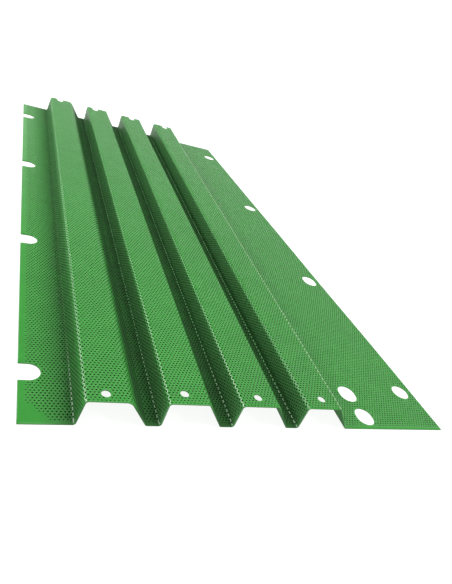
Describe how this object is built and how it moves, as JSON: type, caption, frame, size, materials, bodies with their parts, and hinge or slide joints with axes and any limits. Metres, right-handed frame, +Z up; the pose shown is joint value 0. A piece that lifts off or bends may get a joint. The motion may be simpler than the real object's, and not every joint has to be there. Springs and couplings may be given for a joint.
{
  "type": "ribbed patterned sheet panel",
  "caption": "Green painted sheet folded into parallel flat-topped ribs between two flat flanges, with edge notches, holes and a finely pitted surface.",
  "frame": {"origin": "centre of the outline's bounding rectangle, on the plane that the flanges and floors stand on", "axes": "+Y along the ribs from the wide end to the narrow end, +X from the notched flange to the tapered flange, +Z up"},
  "size_m": [0.4596, 0.844, 0.0285],
  "materials": {
    "green_paint": "satin"
  },
  "bodies": {
    "root": {"ribbed_sheet": "green_paint"}
  },
  "joints": []
}
